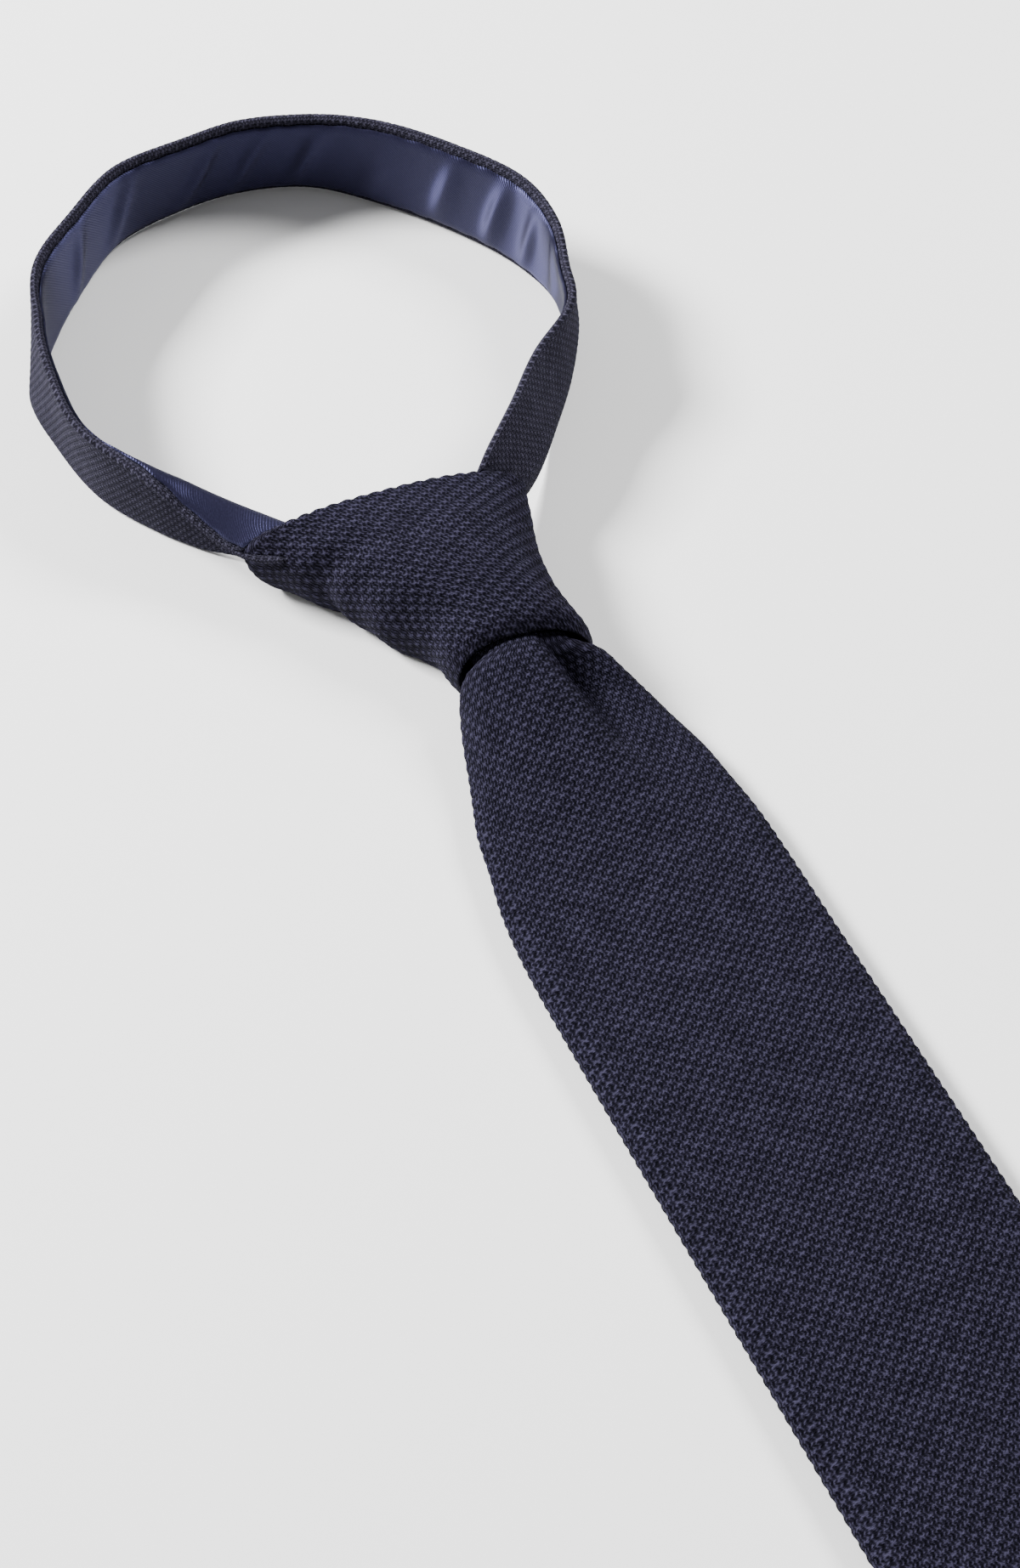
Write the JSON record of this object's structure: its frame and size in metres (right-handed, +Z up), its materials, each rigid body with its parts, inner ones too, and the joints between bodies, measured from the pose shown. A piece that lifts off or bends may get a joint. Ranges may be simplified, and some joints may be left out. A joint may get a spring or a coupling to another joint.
{
  "type": "knit tie",
  "caption": "Knotted navy knit necktie lying flat, with a satin-lined neck loop and square-ended blades.",
  "frame": {"origin": "on the surface that the tie lies on, under the middle of the knot", "axes": "+Z up from that surface, +Y from the knot to the back of the neck loop, front blade towards -Y"},
  "size_m": [0.1265, 0.6241, 0.027],
  "materials": {
    "navy_knit": "dark navy pique knit with a bumpy selvedge",
    "navy_satin": "navy satin with a soft sheen"
  },
  "bodies": {
    "root": {"neck_band": "navy_knit", "band_lining": "navy_satin", "knot_wrap": "navy_knit", "knot_core": "navy_knit", "front_blade": "navy_knit", "tail_blade": "navy_knit"}
  },
  "joints": []
}
